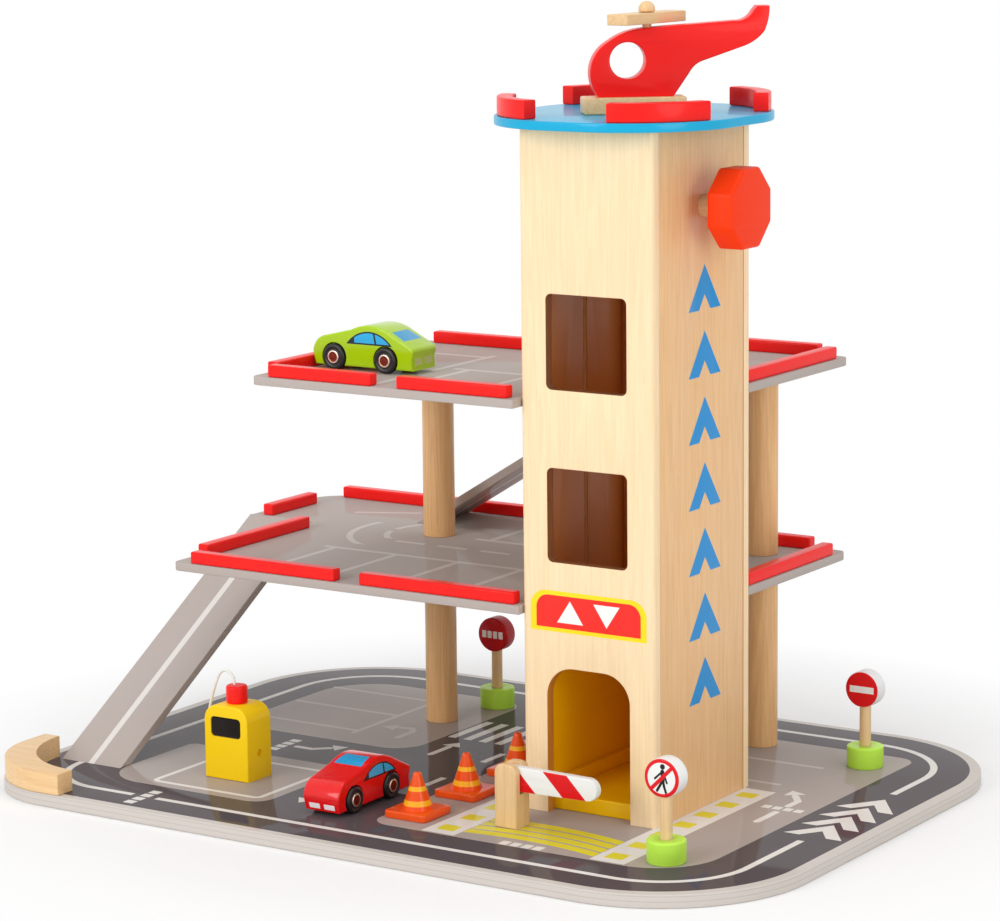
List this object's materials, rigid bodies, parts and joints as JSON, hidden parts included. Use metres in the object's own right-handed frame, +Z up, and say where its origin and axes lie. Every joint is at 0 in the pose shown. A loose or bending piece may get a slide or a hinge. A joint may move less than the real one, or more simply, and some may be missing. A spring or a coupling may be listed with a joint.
{
  "type": "toy parking garage",
  "caption": "Wooden toy parking garage: printed base, parking decks with kerb rails and ramps, crank-operated lift tower with helipad, and loose cars, signs, cones and helicopter.",
  "frame": {"origin": "centre of the base board's underside", "axes": "+X along the front edge to the right, +Y to the back, +Z up"},
  "size_m": [0.6, 0.44, 0.5423],
  "materials": {
    "base_print": "gloss lacquer over print",
    "deck_print": "gloss lacquer over print",
    "beech": "clear satin lacquer",
    "turned_wood": "clear satin lacquer",
    "plywood": "clear satin lacquer",
    "red_paint": "gloss paint",
    "blue_paint": "gloss paint",
    "orange_paint": "gloss paint",
    "yellow_paint": "gloss paint",
    "white_red_paint": "gloss paint",
    "green_paint": "gloss paint",
    "cone_paint": "gloss paint",
    "tyre_black": "satin",
    "copper_cap": "polished",
    "steel_pin": "satin",
    "cord": "twisted string"
  },
  "bodies": {
    "garage": {"base_board": "base_print", "corner_stopper": "beech", "ramp_lower": "deck_print", "ramp_upper": "deck_print", "deck_lower": "deck_print", "deck_upper": "deck_print", "rails_lower_front": "red_paint", "rails_lower_sides": "red_paint", "rails_lower_rear": "red_paint", "rails_upper_front": "red_paint", "rails_upper_sides": "red_paint", "rails_upper_rear": "red_paint", "pillars_lower": "turned_wood", "pillars_upper": "turned_wood", "tower_front_panel": "plywood", "tower_left_panel": "plywood", "tower_right_panel": "plywood", "tower_back_panel": "plywood", "helipad_board": "blue_paint", "helipad_curbs": "red_paint", "lift_cord": "cord", "barrier_post": "beech", "barrier_pin": "steel_pin", "pump_body": "yellow_paint", "pump_cap": "red_paint", "pump_hose": "cord"},
    "lift": {"cabin_floor": "yellow_paint", "cabin_left_wall": "yellow_paint", "cabin_right_wall": "yellow_paint", "cabin_roof": "yellow_paint"},
    "crank": {"crank_shaft": "beech", "crank_collars": "beech", "crank_knob": "orange_paint"},
    "barrier": {"barrier_arm": "white_red_paint"},
    "helicopter": {"helicopter_body": "red_paint", "helicopter_skid": "beech", "rotor_peg": "beech"},
    "rotor": {"rotor_blade": "beech"},
    "red_car": {"red_car_body": "red_paint"},
    "red_car_front_axle": {"red_car_front_axle": "copper_cap", "red_car_front_wheels": "tyre_black"},
    "red_car_rear_axle": {"red_car_rear_axle": "copper_cap", "red_car_rear_wheels": "tyre_black"},
    "green_car": {"green_car_body": "green_paint"},
    "green_car_front_axle": {"green_car_front_axle": "copper_cap", "green_car_front_wheels": "tyre_black"},
    "green_car_rear_axle": {"green_car_rear_axle": "copper_cap", "green_car_rear_wheels": "tyre_black"},
    "sign_left": {"sign_left_base": "green_paint", "sign_left_pole": "beech", "sign_left_disc": "white_red_paint"},
    "sign_front": {"sign_front_base": "green_paint", "sign_front_pole": "beech", "sign_front_disc": "white_red_paint"},
    "sign_rear": {"sign_rear_base": "green_paint", "sign_rear_pole": "beech", "sign_rear_disc": "white_red_paint"},
    "cone_front": {"cone_front": "cone_paint"},
    "cone_middle": {"cone_middle": "cone_paint"},
    "cone_rear": {"cone_rear": "cone_paint"}
  },
  "joints": [
    {"name": "lift_travel", "type": "slide", "parent": "garage", "child": "lift", "axis": [0, 0, 1], "range_m": [0, 0.266], "deforming": ["lift_cord"]},
    {"name": "crank_turn", "type": "hinge", "parent": "garage", "child": "crank", "pos_m": [0.15, -0.0175, 0.411], "axis": [1, 0, 0], "range_deg": [-1910, 0]},
    {"name": "barrier_swing", "type": "hinge", "parent": "garage", "child": "barrier", "pos_m": [0.0865, -0.1209, 0.0415], "axis": [0, -1, 0], "range_deg": [0, 85]},
    {"name": "helicopter_lift", "type": "slide", "parent": "garage", "child": "helicopter", "axis": [0, 0, 1], "range_m": [0, 0.04]},
    {"name": "rotor_spin", "type": "hinge", "parent": "helicopter", "child": "rotor", "pos_m": [0.13229, -0.02234, 0.53], "axis": [0, 0, 1], "continuous": true},
    {"name": "red_car_roll", "type": "slide", "parent": "garage", "child": "red_car", "axis": [0, 1, 0], "range_m": [-0.03, 0.1]},
    {"name": "red_car_front_spin", "type": "hinge", "parent": "red_car", "child": "red_car_front_axle", "pos_m": [-0.0345, -0.1505, 0.018], "axis": [-1, 0, 0], "range_deg": [-192, 638]},
    {"name": "red_car_rear_spin", "type": "hinge", "parent": "red_car", "child": "red_car_rear_axle", "pos_m": [-0.0345, -0.1075, 0.018], "axis": [-1, 0, 0], "range_deg": [-192, 638]},
    {"name": "green_car_roll", "type": "slide", "parent": "garage", "child": "green_car", "axis": [1, 0, 0], "range_m": [0, 0.1]},
    {"name": "green_car_front_spin", "type": "hinge", "parent": "green_car", "child": "green_car_front_axle", "pos_m": [-0.111, -0.0235, 0.295], "axis": [0, 1, 0], "range_deg": [0, 638]},
    {"name": "green_car_rear_spin", "type": "hinge", "parent": "green_car", "child": "green_car_rear_axle", "pos_m": [-0.068, -0.0235, 0.295], "axis": [0, 1, 0], "range_deg": [0, 638]},
    {"name": "sign_left_lift", "type": "slide", "parent": "garage", "child": "sign_left", "axis": [0, 0, 1], "range_m": [0, 0.04]},
    {"name": "sign_front_lift", "type": "slide", "parent": "garage", "child": "sign_front", "axis": [0, 0, 1], "range_m": [0, 0.04]},
    {"name": "sign_rear_lift", "type": "slide", "parent": "garage", "child": "sign_rear", "axis": [0, 0, 1], "range_m": [0, 0.04]},
    {"name": "cone_front_lift", "type": "slide", "parent": "garage", "child": "cone_front", "axis": [0, 0, 1], "range_m": [0, 0.04]},
    {"name": "cone_middle_lift", "type": "slide", "parent": "garage", "child": "cone_middle", "axis": [0, 0, 1], "range_m": [0, 0.04]},
    {"name": "cone_rear_lift", "type": "slide", "parent": "garage", "child": "cone_rear", "axis": [0, 0, 1], "range_m": [0, 0.04]}
  ],
  "couplings": [
    {"joint": "crank_turn", "follows": "lift_travel", "rad_per_m": -125},
    {"joint": "red_car_front_spin", "follows": "red_car_roll", "rad_per_m": 111.11},
    {"joint": "red_car_rear_spin", "follows": "red_car_roll", "rad_per_m": 111.11},
    {"joint": "green_car_front_spin", "follows": "green_car_roll", "rad_per_m": 111.11},
    {"joint": "green_car_rear_spin", "follows": "green_car_roll", "rad_per_m": 111.11}
  ]
}
